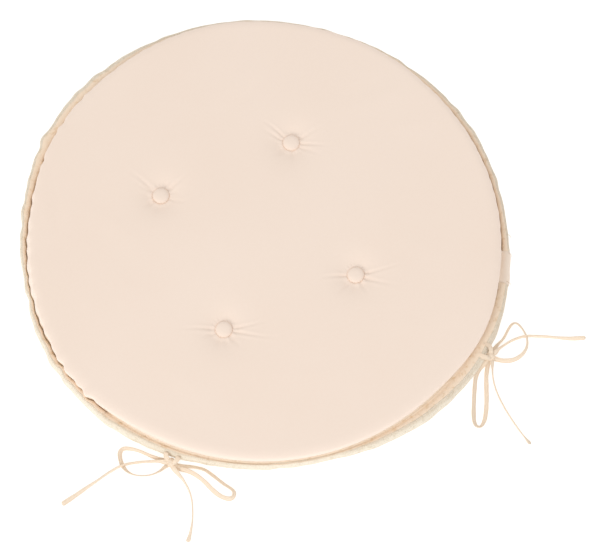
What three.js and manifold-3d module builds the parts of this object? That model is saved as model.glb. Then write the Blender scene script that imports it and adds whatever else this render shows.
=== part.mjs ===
// Round tufted seat pad for a dining chair, with a zipped cover and two pairs of tie tapes.
// Millimetres, +Z up. The origin is the centre of the underside, on the seat; +Y is the back
// edge, where the tapes tie the pad to the chair; +X is the sitter's right.
import * as THREE from 'three';
import { mergeVertices } from 'three/addons/utils/BufferGeometryUtils.js';
import Module from 'manifold-3d';

const wasm = await Module();
wasm.setup();

// ---------------------------------------------------------------- driving dimensions
const padRadius = 200;            // widest point, on the rolled lower edge
const rollOverhang = 6;           // how far the roll stands out past the upright boxing
const crownHeight = 25.6;         // top panel, at its middle
const crownRise = 1.1;            // from the top panel's edge to its middle
const shoulderHeight = 2.9;       // from the top seam to where the top panel's edge rolls over
const rollRadius = 5.4;           // section radius of the rolled lower edge
const bottomSeamAngle = 72;       // degrees above level, where the underside cloth ends on the roll
const clothThickness = 0.8;
const waddingThickness = 4.6;
const pressedWadding = 1.5;       // wadding left under a button
const clearance = 0.3;            // air between touching pieces

const slitRise = 2.2;             // from the roll's top to the middle of the slit above it
const slitWidth = 1.8;            // along the zip
const seamGap = 0.4;              // the same opening where it is sewn shut
const hemDepth = 8;               // turned-in edge of the lower boxing

const zipSetback = 5;             // from the boxing's outside to the middle of the zip's teeth
const zipStart = 34.5;            // degrees from +X: the bottom stop
const zipEnd = 148.9;             // degrees from +X: the top stops
const tapeLap = 3;                // degrees that the zip's tapes run past its stops
const stripLap = 4;               // degrees that the slit between the strips runs past them
const coilThickness = 2;
const coilWidth = 1.7;
const coilGap = 1.4;              // lets the slider's divider pass
const tapeThickness = 0.6;
const stopLength = 1.6;

const sliderLength = 9;
const sliderHeight = 8.2;
const sliderPlay = 0.6;           // between the slider's plates and the teeth
const plateThickness = 1;
const dividerThickness = 0.8;
const archLength = 6;
const archThickness = 1;
const pullLength = 15;
const pullThickness = 1;
const pullRail = 0.9;
const pullEye = 4.2;              // length of the opening that the arch passes through

const tabLead = 0.3;              // degrees that the tab over the closed end starts before it
const tabSpan = 8;                // degrees
const tabRise = 5.2;              // from the slit to the tab's upper edge

const tuftSpacing = [116, 128];   // across and along the seat
const tuftTurn = 4;               // degrees, the tufting jig's turn against the ties
const tuftShift = [4, 1];
const tuftDepth = 5.1;
const tuftRadius = 28;
const buttonRadius = 7.2;
const buttonHeight = 5.2;
const backButtonRadius = 7;
const backButtonThickness = 2.6;
const backButtonLift = 0.5;       // keeps the back button off the seat
const twineRadius = 0.7;
const needleHole = 1.4;

const tieWidth = 4;
const tieThickness = 1.2;
const knotRadii = [4.5, 3.6, 3.5];
const tapeStep = 9.5;             // between a tape's cross sections

// Sizes that follow from those above.
const rollCentre = [padRadius - rollRadius, rollRadius];
const foamBase = clothThickness + clearance;                          // underside of the foam
const wallRadius = padRadius - rollOverhang;
const wallInside = wallRadius - clothThickness;
const edgeHeight = crownHeight - crownRise;
const topSeamHeight = edgeHeight - shoulderHeight;
const slitHeight = 2 * rollRadius + slitRise;
const slitTop = slitHeight + slitWidth / 2;
const slitBottom = slitHeight - slitWidth / 2;
const fillingRadius = wallInside - Math.max(clothThickness, tapeThickness) - 2 * clearance;
const foamTop = edgeHeight - clothThickness - 2 * clearance - waddingThickness;
const zipRadius = wallRadius - zipSetback;
const zipHalf = coilThickness / 2;
const tapeSlot = sliderHeight / 2 + 0.5;                               // from the slit's middle
const tapeTurn = tapeSlot + 0.9;                                       // where the tape meets the boxing
const grooveInside = zipRadius - zipHalf - 2 * sliderPlay - plateThickness;
const pullRadius = wallRadius + clearance + 0.1 + pullThickness / 2;   // middle of the pull's bar
const archRadius = pullRadius + pullThickness / 2 + 0.4;               // inside of the slider's arch
const sliderAngle = zipEnd - THREE.MathUtils.radToDeg((sliderLength / 2 + clearance) / zipRadius);
const slitSpan = [zipStart - stripLap, zipEnd + stripLap];

const ringSegments = 60;
const smallSegments = 12;
const rollSteps = 5;

// ---------------------------------------------------------------- materials
function finish(color, roughness, metalness = 0) {
  return new THREE.MeshStandardMaterial({ color, roughness, metalness });
}
const cotton = finish('#f2e0d0', 0.9);
const baseCloth = finish('#f2ece0', 0.95);
const foamStuff = finish('#f6edcf', 1);
const waddingStuff = finish('#fbfaf6', 1);
const zipTapeStuff = finish('#efe4d4', 0.9);
const nylon = finish('#f0e3d0', 0.45);
const paintedMetal = finish('#ead9c4', 0.4, 0.4);
const steel = finish('#b9b9b6', 0.35, 0.9);
const twineStuff = finish('#efe6d6', 0.85);
const plastic = finish('#f3eee4', 0.4);

// ---------------------------------------------------------------- solids and joins
function toSolid(geometry) {
  const bare = geometry.clone();
  bare.deleteAttribute('normal');
  bare.deleteAttribute('uv');
  const merged = mergeVertices(bare, 1e-4);
  const mesh = { numProp: 3 };
  mesh.vertProperties = new Float32Array(merged.attributes.position.array);
  mesh.triVerts = new Uint32Array(merged.index.array);
  return new wasm.Manifold(new wasm.Mesh(mesh));
}

function toGeometry(solid) {
  const mesh = solid.getMesh();
  const geometry = new THREE.BufferGeometry();
  geometry.setAttribute('position', new THREE.BufferAttribute(mesh.vertProperties, 3));
  geometry.setIndex(new THREE.BufferAttribute(mesh.triVerts, 1));
  geometry.computeVertexNormals();
  return geometry;
}

const cut = (solid, ...tools) => tools.reduce((rest, tool) => rest.subtract(tool), solid);
const join = (...solids) => solids.reduce((whole, solid) => whole.add(solid));

const piece = (name, shape, material) => {
  const mesh = new THREE.Mesh(shape.isBufferGeometry ? shape : toGeometry(shape), material);
  mesh.name = name;
  return mesh;
};

// A ring or disc: the [radius, height] outline is turned once round +Z. The outline runs
// upwards on its outer side, and starts and ends on the axis or closes on itself.
function turned(outline, segments = ringSegments) {
  const points = outline.map(([radius, height]) => new THREE.Vector2(radius, height));
  if (outline[0][0] > 0) points.push(points[0].clone());
  return toSolid(new THREE.LatheGeometry(points, segments).rotateX(Math.PI / 2));
}

// The part of a ring between two angles, in degrees from +X.
function sector(ring, from, to) {
  const rim = Array.from({ length: 9 }, (_, step) => {
    const angle = THREE.MathUtils.degToRad(from + (to - from) * step / 8);
    return new THREE.Vector2(Math.cos(angle), Math.sin(angle)).multiplyScalar(2 * padRadius);
  });
  const shape = new THREE.Shape([new THREE.Vector2(0, 0), ...rim]);
  const wedge = new THREE.ExtrudeGeometry(shape, { depth: 80, bevelEnabled: false });
  return ring.intersect(toSolid(wedge.translate(0, 0, -20)));
}

// A block from its ranges along the zip, away from the pad's middle, and upwards.
function block(along, outward, upward) {
  const size = [along, outward, upward].map(([low, high]) => high - low);
  const middle = [along, outward, upward].map(([low, high]) => (low + high) / 2);
  return toSolid(new THREE.BoxGeometry(...size).translate(...middle));
}

// Points on the rolled lower edge's section, at a distance from the section's centre.
function rollArc(distance, from, to, steps) {
  return Array.from({ length: steps + 1 }, (_, step) => {
    const angle = THREE.MathUtils.degToRad(from + (to - from) * step / steps);
    return [rollCentre[0] + distance * Math.cos(angle), rollCentre[1] + distance * Math.sin(angle)];
  });
}

// ---------------------------------------------------------------- tufts: where the pad is pulled in
const tufts = [[1, -1], [-1, -1], [1, 1], [-1, 1]].map(([side, end], index) => {
  const turn = THREE.MathUtils.degToRad(tuftTurn);
  const across = side * tuftSpacing[0] / 2;
  const along = end * tuftSpacing[1] / 2;
  return {
    number: index + 1,
    x: tuftShift[0] + across * Math.cos(turn) - along * Math.sin(turn),
    y: tuftShift[1] + across * Math.sin(turn) + along * Math.cos(turn),
  };
});
const topSurface = (x, y) => crownHeight - (crownHeight - edgeHeight) * Math.hypot(x, y) / wallRadius;
const tuftFloor = (tuft) => topSurface(tuft.x, tuft.y) - tuftDepth;

// What a button presses out of the top, lowered by a depth to cut each layer in turn.
function topDimples(depth) {
  const profile = [
    [0, 0], [buttonRadius + 1, 0], [0.6 * tuftRadius, 0.64 * tuftDepth], [tuftRadius, tuftDepth + 0.6],
    [tuftRadius, tuftDepth + 12], [0, tuftDepth + 12],
  ];
  return tufts.map((tuft) => turned(profile, smallSegments)
    .translate([tuft.x, tuft.y, tuftFloor(tuft) - depth]));
}

// The hollow of each back button, raised by a height to cut each layer in turn.
const backHollow = backButtonLift + backButtonThickness + clearance;
function underDimples(height) {
  const reach = backButtonRadius + 10;
  const profile = [
    [0, -10], [reach, -10], [reach, -0.4], [backButtonRadius + 5, 0.35 * backHollow],
    [backButtonRadius + 1, backHollow], [0, backHollow],
  ];
  return tufts.map((tuft) => turned(profile, smallSegments).translate([tuft.x, tuft.y, height]));
}

const needleHoles = tufts.map((tuft) => toSolid(
  new THREE.CylinderGeometry(needleHole, needleHole, 80, 8).rotateX(Math.PI / 2)
    .translate(tuft.x, tuft.y, 0)));

// ---------------------------------------------------------------- cover
// The outside of the top, lowered and drawn in by a distance to give each layer's surface.
const topOutline = (inset) => [
  [wallRadius - inset, topSeamHeight + clearance], [wallRadius + 0.3 - inset, topSeamHeight + 0.8],
  [wallRadius - 1.5 - inset, edgeHeight - 0.9 - inset], [wallRadius - 6 - inset, edgeHeight - 0.1 - inset],
  [wallRadius - 24 - inset, edgeHeight + 0.1 - inset], [0, crownHeight - inset],
];

function topPanel() {
  const outside = turned([[0, topSeamHeight + clearance], ...topOutline(0)]);
  const inside = turned([[0, topSeamHeight - 8], [wallInside, topSeamHeight - 8],
    ...topOutline(clothThickness)]);
  // Below the seam's height the panel exists only where the tufts draw it down.
  const well = turned([[0, topSeamHeight - 8], [wallRadius / 2 + 60, topSeamHeight - 8],
    [wallRadius / 2 + 60, topSeamHeight + clearance], [0, topSeamHeight + clearance]]);
  const upper = cut(join(outside, well), ...topDimples(0));
  return cut(upper, cut(inside, ...topDimples(clothThickness)), ...needleHoles);
}

function bottomPanel() {
  const [edge] = rollArc(rollRadius - clothThickness, bottomSeamAngle, bottomSeamAngle, 1);
  const outside = turned([[0, 0], ...rollArc(rollRadius, -90, bottomSeamAngle, rollSteps), edge,
    [0, edge[1]]]);
  const inside = turned([[0, clothThickness],
    ...rollArc(rollRadius - clothThickness, -90, bottomSeamAngle, rollSteps), [edge[0], 2 * edge[1]],
    [0, 2 * edge[1]]]);
  const lower = cut(outside, ...underDimples(0));
  return cut(lower, cut(inside, ...underDimples(clothThickness)), ...needleHoles);
}

const upperBoxing = (foldHeight) => turned([
  [wallInside, foldHeight], [wallRadius, foldHeight],
  [wallRadius, topSeamHeight], [wallInside, topSeamHeight],
]);

// The lower strip stands up to its fold, lies over the roll down to the seam, and turns in
// behind the fold as a hem that the zip's tape is sewn to.
function lowerBoxing(foldHeight) {
  const seam = bottomSeamAngle + 5;
  const hemInside = wallInside - clothThickness;
  return turned([
    [hemInside, foldHeight - hemDepth], [wallInside, foldHeight - hemDepth],
    [wallInside, rollCentre[1] + rollRadius - clothThickness],
    ...rollArc(rollRadius - clothThickness, 90, seam, 2),
    ...rollArc(rollRadius, seam, 90, 3),
    [wallRadius, rollCentre[1] + rollRadius + 0.2], [wallRadius, foldHeight],
    [hemInside, foldHeight],
  ]);
}

// Each strip is the back length along the slit, or the front length that is sewn shut.
function stripLength(ring, back) {
  const blank = turned([[wallInside - 8, -1], [padRadius + 6, -1], [padRadius + 6, 2 * crownHeight],
    [wallInside - 8, 2 * crownHeight]]);
  const gap = back ? THREE.MathUtils.radToDeg(clearance / wallRadius) : 0;
  const wedge = sector(blank, slitSpan[0] + gap, slitSpan[1] - gap);
  return back ? ring.intersect(wedge) : ring.subtract(wedge);
}

// The cloth tab over the zip's closed end, bulging a little away from the slit behind it.
function joinerTab() {
  const lift = clearance + 0.1;
  const bulge = 3.3;
  const top = slitHeight + tabRise;
  const inner = [
    ...rollArc(rollRadius + lift, 0, bottomSeamAngle, 3),
    [wallRadius + bulge, slitHeight + 1], [wallRadius + lift, top],
  ];
  const outer = [
    [wallRadius + lift, top + clothThickness],
    [wallRadius + bulge + clothThickness, slitHeight + 1.3],
    ...rollArc(rollRadius + lift + clothThickness, bottomSeamAngle, 0, 3),
  ];
  const from = zipEnd - tabLead;
  return sector(turned([...inner, ...outer].reverse()), from, from + tabSpan);
}

// ---------------------------------------------------------------- filling
function wadding() {
  const inset = clothThickness + clearance;
  const foot = foamTop + clearance;
  const well = foamTop - 6;
  const blank = turned([[0, well], [fillingRadius, well], [fillingRadius, topSeamHeight],
    ...topOutline(inset).slice(2)]);
  const below = turned([[0, well - 1], [padRadius, well - 1], [padRadius, foot], [0, foot]]);
  const tapeTop = slitHeight + tapeTurn + clearance;
  const groove = sector(turned([
    [grooveInside, well - 1], [wallRadius, well - 1], [wallRadius, tapeTop], [grooveInside, tapeTop],
  ]), ...slitSpan);
  const pressed = inset + pressedWadding;
  return cut(cut(blank, ...topDimples(inset)), cut(below, ...topDimples(pressed)), groove, ...needleHoles);
}

function foam() {
  const inset = clothThickness + clearance;
  const hemFoot = slitBottom - hemDepth - clearance;
  const disc = turned([
    [0, foamBase], ...rollArc(rollRadius - inset, -90, bottomSeamAngle, rollSteps),
    [rollCentre[0], rollCentre[1] + rollRadius - inset],
    [wallRadius - 0.5, rollCentre[1] + rollRadius - inset], [wallRadius - 0.5, hemFoot],
    [fillingRadius, hemFoot], [fillingRadius, foamTop], [0, foamTop],
  ]);
  const groove = sector(turned([
    [grooveInside, hemFoot], [wallRadius - 0.6, hemFoot],
    [wallRadius - 0.6, foamTop + 5], [grooveInside, foamTop + 5],
  ]), ...slitSpan);
  const pressed = inset + pressedWadding + clearance;
  return cut(disc, groove, ...topDimples(pressed), ...underDimples(inset), ...needleHoles);
}

// ---------------------------------------------------------------- zip
// The two halves of the zip mirror each other about the slit; side is 1 above and -1 below.
const zipHeights = (side, low, high) => (
  side > 0 ? [slitHeight + low, slitHeight + high] : [slitHeight - high, slitHeight - low]);
const coilEdges = [coilGap / 2, coilGap / 2 + coilWidth];

function zipCoil(side) {
  const [low, high] = zipHeights(side, ...coilEdges);
  const [inner, outer] = [zipRadius - zipHalf, zipRadius + zipHalf];
  const round = 0.4;
  return sector(turned([
    [inner + round, low], [outer - round, low], [outer, low + round], [outer, high - round],
    [outer - round, high], [inner + round, high], [inner, high - round], [inner, low + round],
  ]), zipStart, zipEnd);
}

// Each tape runs straight through the slider's slot, then out to the boxing it is sewn to.
function zipTape(side) {
  const sewn = (side > 0 ? wallInside : wallInside - clothThickness) - clearance;
  const near = coilEdges[1] + clearance;
  const sewnTo = side > 0 ? topSeamHeight - slitHeight : hemDepth + slitWidth / 2;
  const half = tapeThickness / 2;
  const inside = [[zipRadius - half, near], [zipRadius - half, tapeSlot],
    [sewn - tapeThickness, tapeTurn], [sewn - tapeThickness, sewnTo]];
  const outside = [[sewn, sewnTo], [sewn, tapeTurn - 0.3], [zipRadius + half, tapeSlot - 0.3],
    [zipRadius + half, near]];
  const outline = [...inside, ...outside];
  const ring = outline.map(([radius, offset]) => [radius, slitHeight + side * offset]);
  return sector(turned(side > 0 ? ring.reverse() : ring), zipStart - tapeLap, zipEnd + tapeLap);
}

function zipStop(side, from, to) {
  const [low, high] = zipHeights(side, ...coilEdges);
  const half = zipHalf + 0.3;
  return sector(turned([[zipRadius - half, low], [zipRadius + half, low],
    [zipRadius + half, high], [zipRadius - half, high]]), from, to);
}

// The slider in its own place: x along the zip towards its closed end, y away from the pad's
// middle and measured from it, z up from the middle of the slit.
function sliderBody() {
  const length = [-sliderLength / 2, sliderLength / 2];
  const height = [-sliderHeight / 2, sliderHeight / 2];
  const innerFace = zipRadius - zipHalf - sliderPlay;
  const outerFace = zipRadius + zipHalf + sliderPlay;
  const parts = [
    block(length, [innerFace - plateThickness, innerFace], height),
    block(length, [outerFace, outerFace + plateThickness], height),
    block([2.5, 4.1], [innerFace - 0.1, outerFace + 0.1], [-dividerThickness / 2, dividerThickness / 2]),
  ];
  for (const side of [-1, 1]) {
    const rim = side > 0 ? [height[1] - 0.7, height[1]] : [height[0], height[0] + 0.7];
    parts.push(block(length, [innerFace - 0.1, innerFace + 0.7], rim));
    parts.push(block(length, [outerFace - 0.7, outerFace + 0.1], rim));
    const foot = side > 0 ? [archLength / 2 - 0.8, archLength / 2] : [-archLength / 2, 0.8 - archLength / 2];
    parts.push(block(foot, [outerFace + plateThickness - 0.1, archRadius + 0.1],
      [-archThickness / 2, archThickness / 2]));
  }
  parts.push(block([-archLength / 2, archLength / 2], [archRadius, archRadius + 1],
    [-archThickness / 2, archThickness / 2]));
  return join(...parts);
}

// The pull tab: a round bar under the arch, two rails beside it, and the grip.
function pullTab() {
  const half = archThickness / 2 + 0.4;
  const thick = [pullRadius - pullThickness / 2, pullRadius + pullThickness / 2];
  const bar = toSolid(new THREE.CylinderGeometry(pullThickness / 2, pullThickness / 2,
    2 * (half + pullRail) - 0.2, 12).rotateX(Math.PI / 2).translate(0, pullRadius, 0));
  return join(
    bar,
    block([-pullEye, 0], thick, [half, half + pullRail]),
    block([-pullEye, 0], thick, [-half - pullRail, -half]),
    block([-pullLength, -pullEye + 0.4], thick, [-half - pullRail, half + pullRail]),
  );
}

function zip() {
  const group = new THREE.Group();
  for (const [side, name] of [[1, 'upper'], [-1, 'lower']]) {
    group.add(piece(`zip_tape_${name}`, zipTape(side), zipTapeStuff));
    group.add(piece(`zip_coil_${name}`, zipCoil(side), nylon));
    const stopAngle = THREE.MathUtils.radToDeg(stopLength / zipRadius);
    const gapAngle = THREE.MathUtils.radToDeg(clearance / zipRadius);
    group.add(piece(`zip_top_stop_${name}`,
      zipStop(side, zipEnd + gapAngle, zipEnd + gapAngle + stopAngle), steel));
    group.add(piece(`zip_bottom_stop_${name}`,
      zipStop(side, zipStart - gapAngle - stopAngle, zipStart - gapAngle), steel));
  }
  const slide = new THREE.Group();
  slide.rotation.z = THREE.MathUtils.degToRad(sliderAngle - 90);
  slide.position.z = slitHeight;
  const mirrored = (solid) => solid.mirror([1, 0, 0]);
  slide.add(piece('zip_slider', mirrored(sliderBody()), paintedMetal));
  slide.add(piece('zip_pull', mirrored(pullTab()), paintedMetal));
  group.add(slide);
  return group;
}

// ---------------------------------------------------------------- tufting buttons
function tuft({ number, x, y }) {
  const group = new THREE.Group();
  const floor = tuftFloor({ x, y }) + clearance;
  const skin = 0.5;
  const shellInset = skin + clearance + 0.1;
  const plateRadius = buttonRadius - 2.6;
  const mouth = plateRadius + 0.4;
  const dome = (inset) => [
    [buttonRadius - inset, 1.4], [0.96 * buttonRadius - inset, 2.6 - 0.2 * inset],
    [0.75 * buttonRadius - 0.8 * inset, 4.1 - 0.7 * inset],
    [0.4 * buttonRadius, buttonHeight - 0.3 - inset], [0, buttonHeight - inset],
  ];
  const turnedSmall = (outline) => turned(outline, smallSegments);
  const cover = turnedSmall([[mouth, 0], [buttonRadius - 0.7, 0], ...dome(0), ...dome(skin).reverse(),
    [buttonRadius - skin - 0.3, skin + 0.2], [mouth, skin]]);
  const shell = turnedSmall([[buttonRadius - shellInset - skin, 1.5], ...dome(shellInset).slice(1),
    ...dome(shellInset + skin).slice(1).reverse()]);
  const plate = turnedSmall([[0, 0.1], [plateRadius, 0.1], [plateRadius, 1.1], [0, 1.1]]);
  const eye = toSolid(new THREE.TorusGeometry(1.5, 0.4, 6, 12).rotateX(Math.PI / 2)
    .scale(0.55, 1, 1).translate(0, 0, -1.2));
  const twineFoot = backHollow + clearance;
  const twineTop = floor - 1.2 - 1.9 - clearance;
  const twine = new THREE.CylinderGeometry(twineRadius, twineRadius, twineTop - twineFoot, 8)
    .rotateX(Math.PI / 2).translate(0, 0, (twineTop + twineFoot) / 2);
  const rim = backButtonRadius;
  const thick = backButtonThickness;
  const disc = turnedSmall([[0, 0.5], [0.55 * rim, 0.5], [0.65 * rim, 0], [0.9 * rim, 0],
    [rim, 0.25 * thick], [rim, 0.7 * thick], [0.9 * rim, thick], [0, thick]]);
  const threadHoles = [-1, 1].map((side) => toSolid(new THREE.CylinderGeometry(0.8, 0.8, 20, 8)
    .rotateX(Math.PI / 2).translate(2 * side, 0, 0)));
  const put = (name, shape, material, height) => {
    const mesh = piece(`${name}_${number}`, shape, material);
    mesh.position.z = height;
    group.add(mesh);
  };
  put('button_cover', cover, cotton, floor);
  put('button_shell', shell, steel, floor);
  put('button_back', join(plate, eye), steel, floor);
  put('tuft_twine', twine, twineStuff, 0);
  put('back_button', cut(disc, ...threadHoles), plastic, backButtonLift);
  group.position.set(x, y, 0);
  return group;
}

// ---------------------------------------------------------------- tie tapes
// Each tape leaves the bottom seam, drops to the knot of its bow, makes one loop and hangs on
// as one tail. The routes are points on its middle line.
const ties = {
  right: {
    knot: [133, 155.2, 4.7],
    lead_1: [[125.6, 154.3, 10.2], [128.3, 156.4, 9.8], [131, 157.4, 9.1]],
    lead_2: [[133.9, 147.1, 10.2], [135.3, 149.9, 9.8], [135.2, 152.6, 9.1]],
    loop_1: [[137.3, 151.6, 3.9], [141.2, 148, 2], [147, 142.8, 0.9], [153.5, 136.5, 0.8], [160, 132, 0.8],
      [165.5, 130.5, 0.8], [169, 134, 0.8], [170, 142.5, 0.8], [168, 149.5, 0.8], [162.5, 155, 0.8],
      [153, 158.5, 0.8], [145, 158.4, 0.9], [138.6, 156.4, 2.4]],
    loop_2: [[129, 158.8, 3.9], [122.6, 161.4, 1.4], [115.5, 165, 0.8], [109.5, 169.5, 0.8],
      [104.5, 177, 0.8], [99.5, 185.5, 0.8], [95.2, 191.5, 0.8], [94, 195.5, 0.8],
      [96.3, 198.8, 0.8], [100.3, 198.6, 0.8],
      [105.5, 194, 0.8], [109.8, 186.5, 0.8], [113.2, 178.5, 0.8], [117.6, 171.2, 0.8], [123, 165.2, 0.8],
      [128.8, 160.9, 2]],
    tail_1: [[137.8, 153.6, 6.2], [142, 150.8, 4.4], [148, 148, 2.3], [156, 145.6, 1.3], [163, 144.3, 2.6],
      [170, 143.8, 3.1], [176.5, 144.4, 2.6], [184, 146, 1], [193, 148.8, 0.8], [202, 151.3, 0.8],
      [213, 154.6, 0.8], [226, 158, 0.8]],
    tail_2: [[132.6, 160.6, 4.2], [130.4, 166, 1.8], [128.3, 173, 0.8], [127.2, 182, 0.8], [127.8, 190, 0.8],
      [130, 198, 0.8], [133, 206, 0.8], [137.5, 214.5, 0.8], [142.5, 222, 0.8]],
  },
  left: {
    knot: [-137.7, 157.3, 4.7],
    lead_1: [[-135.6, 145.6, 10.2], [-139.4, 149.5, 9.9], [-139.9, 154.4, 9.1]],
    lead_2: [[-126.8, 153.3, 10.2], [-131.1, 157, 9.9], [-135.5, 159.6, 9.1]],
    loop_1: [[-142, 153.6, 3.9], [-147.6, 149.3, 1.6], [-154, 146, 0.8], [-160.5, 140, 0.8],
      [-165.5, 136.5, 0.8], [-169.3, 137.5, 0.8], [-171.5, 143, 0.8], [-172.3, 149.5, 0.8],
      [-171, 156, 0.8], [-167.3, 161.3, 0.8], [-161.5, 164.8, 0.8], [-154.5, 165.8, 0.8],
      [-147.5, 163.8, 0.8], [-142.2, 160.4, 2.2]],
    loop_2: [[-133.2, 160.4, 3.9], [-127.3, 163.2, 1.4], [-121.5, 169.2, 0.8], [-117, 178, 0.8],
      [-113, 187, 0.8], [-109.5, 195.5, 0.8], [-106.8, 203.3, 0.8], [-106.8, 208.2, 0.8],
      [-109.8, 210.2, 0.8], [-114, 207, 0.8], [-118, 200.5, 0.8], [-122.5, 190.5, 0.8],
      [-126.3, 180, 0.8], [-129.6, 171.4, 0.8], [-134, 163, 1.8]],
    tail_1: [[-142.9, 156.3, 6.2], [-148, 153.4, 3.8], [-153.5, 151.3, 1.6], [-160, 149.9, 1.2],
      [-166, 149.6, 2.3], [-172.3, 150.6, 3], [-178.5, 152.6, 2.3], [-186, 155.6, 1],
      [-195, 159.9, 0.8], [-205, 164.4, 0.8], [-217, 168, 0.8]],
    tail_2: [[-138, 162, 4.2], [-136.6, 166.8, 2.4], [-134.6, 173, 1], [-133, 181, 0.8], [-132.6, 190, 0.8],
      [-133.4, 201, 0.8], [-135.3, 213, 0.8], [-138, 225, 0.8], [-142, 238, 0.8]],
  },
};

// A curve whose extruded section keeps its x upright and its y level, so the tape lies flat.
class TapeRoute extends THREE.CatmullRomCurve3 {
  computeFrenetFrames(steps) {
    const tangents = Array.from({ length: steps + 1 }, (_, step) => this.getTangentAt(step / steps));
    const binormals = tangents.map(({ x, y }) => new THREE.Vector3(-y, x, 0).normalize());
    const normals = tangents.map((tangent, step) => binormals[step].clone().cross(tangent));
    return { tangents, normals, binormals };
  }
}

function tapeStretch(points) {
  const route = new TapeRoute(points.map((point) => new THREE.Vector3(...point)));
  const steps = Math.max(2, Math.round(route.getLength() / tapeStep));
  const [high, wide] = [tieThickness / 2, tieWidth / 2];
  const shape = new THREE.Shape([
    [high, wide - 0.5], [high, 0.5 - wide], [high - 0.3, -wide], [0.3 - high, -wide],
    [-high, 0.5 - wide], [-high, wide - 0.5], [0.3 - high, wide], [high - 0.3, wide],
  ].map(([x, y]) => new THREE.Vector2(x, y)));
  return new THREE.ExtrudeGeometry(shape, { steps, bevelEnabled: false, extrudePath: route });
}

function tie(side, { knot, ...stretches }) {
  const group = new THREE.Group();
  for (const [name, points] of Object.entries(stretches)) {
    group.add(piece(`${side}_tie_${name}`, tapeStretch(points), cotton));
  }
  const lump = piece(`${side}_tie_knot`, new THREE.SphereGeometry(1, 12, 8).scale(...knotRadii), cotton);
  lump.position.set(...knot);
  lump.rotation.z = Math.atan2(knot[1], knot[0]) - Math.PI / 2;
  group.add(lump);
  return group;
}

// ---------------------------------------------------------------- the whole pad
const sewnTop = slitHeight + seamGap / 2;
const sewnBottom = slitHeight - seamGap / 2;

const pad = new THREE.Group();
pad.add(
  piece('top_panel', topPanel(), cotton),
  piece('bottom_panel', bottomPanel(), baseCloth),
  piece('boxing_upper_back', stripLength(upperBoxing(slitTop), true), cotton),
  piece('boxing_upper_front', stripLength(upperBoxing(sewnTop), false), cotton),
  piece('boxing_lower_back', stripLength(lowerBoxing(slitBottom), true), cotton),
  piece('boxing_lower_front', stripLength(lowerBoxing(sewnBottom), false), cotton),
  piece('joiner_tab', joinerTab(), cotton),
  piece('wadding_top', wadding(), waddingStuff),
  piece('foam_disc', foam(), foamStuff),
  zip(),
  ...tufts.map(tuft),
  tie('right', ties.right),
  tie('left', ties.left),
);

export default pad;
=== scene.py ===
"""Round tufted seat pad: cloth cover, rolled edge, zip, buttons and tie tapes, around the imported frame."""
import math

import bmesh
import bpy
import numpy as np
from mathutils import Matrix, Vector


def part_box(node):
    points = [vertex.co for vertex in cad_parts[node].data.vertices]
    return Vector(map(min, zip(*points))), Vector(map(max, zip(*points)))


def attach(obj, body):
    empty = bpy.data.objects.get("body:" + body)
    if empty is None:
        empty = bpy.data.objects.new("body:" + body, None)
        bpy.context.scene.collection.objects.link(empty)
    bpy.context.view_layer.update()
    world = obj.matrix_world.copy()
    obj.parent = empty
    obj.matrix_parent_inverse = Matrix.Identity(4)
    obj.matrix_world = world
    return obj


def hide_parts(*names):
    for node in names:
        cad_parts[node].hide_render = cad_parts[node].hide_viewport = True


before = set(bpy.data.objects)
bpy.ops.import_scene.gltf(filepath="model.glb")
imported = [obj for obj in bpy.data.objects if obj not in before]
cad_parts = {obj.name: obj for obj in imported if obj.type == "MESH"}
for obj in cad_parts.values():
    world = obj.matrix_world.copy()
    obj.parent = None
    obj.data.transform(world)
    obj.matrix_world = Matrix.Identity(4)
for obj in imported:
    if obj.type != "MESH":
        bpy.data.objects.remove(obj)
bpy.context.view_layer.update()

# ------------------------------------------------------------------ sizes, in metres
MM = 0.001
PAD_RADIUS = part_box("bottom_panel")[1].x
WALL_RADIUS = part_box("boxing_upper_front")[1].x
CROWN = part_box("top_panel")[1].z
TOP_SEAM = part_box("boxing_upper_back")[1].z
SLIT_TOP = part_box("boxing_upper_back")[0].z
SLIT_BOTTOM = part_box("boxing_lower_back")[1].z
SLIT = (SLIT_TOP + SLIT_BOTTOM) / 2
EDGE_TOP = CROWN - 1.1 * MM         # top cloth where its shoulder starts
FOAM_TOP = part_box("foam_disc")[1].z
ROLL = 5.4 * MM                     # height of the rolled edge's middle
SHOULDER = 8 * MM
CLOTH = 0.8 * MM
HEM = 2.0 * MM                      # how far each edge of the slit is turned in
TUFT_DEPTH = 5.1 * MM
TUFT_REACH = 28 * MM
BUTTON_RADIUS = 7.2 * MM
ZIP_FROM, ZIP_TO = 30.5, 152.9      # degrees from +X, the open length of the slit
TAB_FROM, TAB_TO = 148.6, 156.6

TAU = 2 * math.pi


# ------------------------------------------------------------------ camera, light and floor
def aim(thing, target):
    """Turns a light or camera so that it looks at a point."""
    thing.rotation_euler = (Vector(target) - thing.location).to_track_quat("-Z", "Y").to_euler()


def make_camera():
    target = Vector((-0.0171, 0.0428, 0.008))
    height, turn, distance = math.radians(67.6), math.radians(70), 3.2
    data = bpy.data.cameras.new("camera")
    data.lens, data.sensor_width = 237.04, 36
    camera = bpy.data.objects.new("camera", data)
    bpy.context.scene.collection.objects.link(camera)
    level = math.cos(height)
    camera.location = target + distance * Vector(
        (level * math.cos(turn), level * math.sin(turn), math.sin(height)))
    aim(camera, target)
    bpy.context.scene.camera = camera


def area_light(name, size, energy, place, color=(1, 1, 1)):
    data = bpy.data.lights.new(name, "AREA")
    data.size, data.energy, data.color = size, energy, color
    light = bpy.data.objects.new(name, data)
    bpy.context.scene.collection.objects.link(light)
    light.location = place
    aim(light, (0, 0, 0))


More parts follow.
